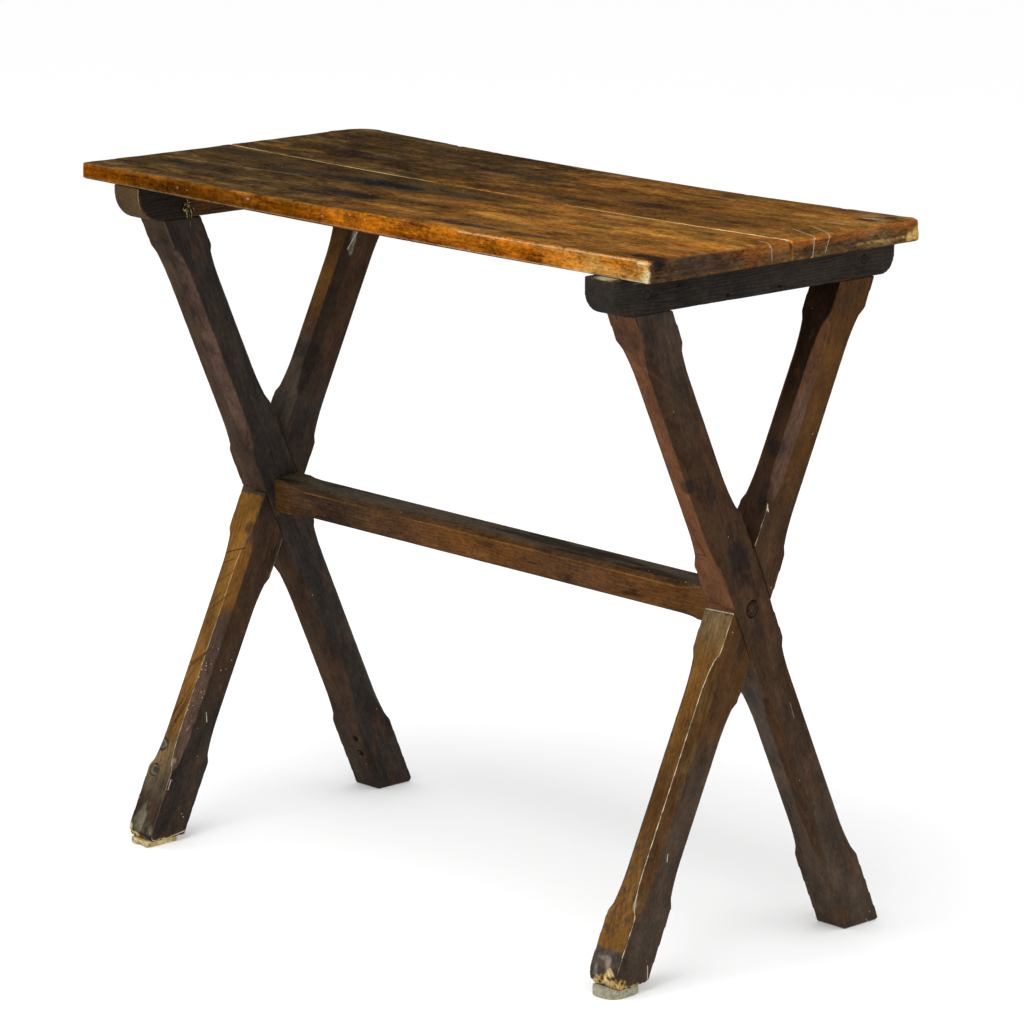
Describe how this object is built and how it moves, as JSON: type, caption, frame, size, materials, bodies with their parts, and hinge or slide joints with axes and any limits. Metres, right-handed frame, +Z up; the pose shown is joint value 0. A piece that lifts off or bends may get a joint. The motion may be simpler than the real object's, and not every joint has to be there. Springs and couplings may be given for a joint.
{
  "type": "sawbuck table",
  "caption": "Old wooden table with a flat plank top on crossed legs, joined by a stretcher through the crossings.",
  "frame": {"origin": "on the floor, under the middle of the overall box, to about a millimetre", "axes": "+X along the top towards the right frame, +Y from the front to the back, +Z up"},
  "size_m": [0.7894, 0.4159, 0.72],
  "materials": {
    "front_board_wood": "aged oil and wax, satin, worn through in places",
    "back_board_wood": "aged oil and wax, satin, worn through in places",
    "joint_filling": "old wax and dirt, dull",
    "batten_wood": "aged oil and wax, satin, worn through in places",
    "right_leg_wood": "aged oil and wax, satin, worn through in places",
    "left_leg_wood": "aged oil and wax, satin, worn through in places",
    "stretcher_wood": "aged oil and wax, satin, worn through in places",
    "peg_wood": "aged oil and wax, satin, worn through in places",
    "pale_torn_wood": "bare torn wood, dull",
    "plug_wood": "aged oil and wax, satin, worn through in places",
    "sprig_iron": "rusted, matt",
    "felt": "worn felt"
  },
  "bodies": {
    "root": {"front_board": "front_board_wood", "back_board": "back_board_wood", "joint_filler": "joint_filling", "right_batten": "batten_wood", "left_batten": "batten_wood", "right_front_leg": "right_leg_wood", "right_rear_leg": "right_leg_wood", "left_front_leg": "left_leg_wood", "left_rear_leg": "left_leg_wood", "stretcher": "stretcher_wood", "draw_pegs": "peg_wood", "right_top_dowels": "peg_wood", "left_top_dowels": "peg_wood", "proud_peg": "pale_torn_wood", "packing_slip": "pale_torn_wood", "left_front_foot_plugs": "plug_wood", "left_rear_foot_plugs": "plug_wood", "tenon_sprigs": "sprig_iron", "foot_pad": "felt"}
  },
  "joints": []
}
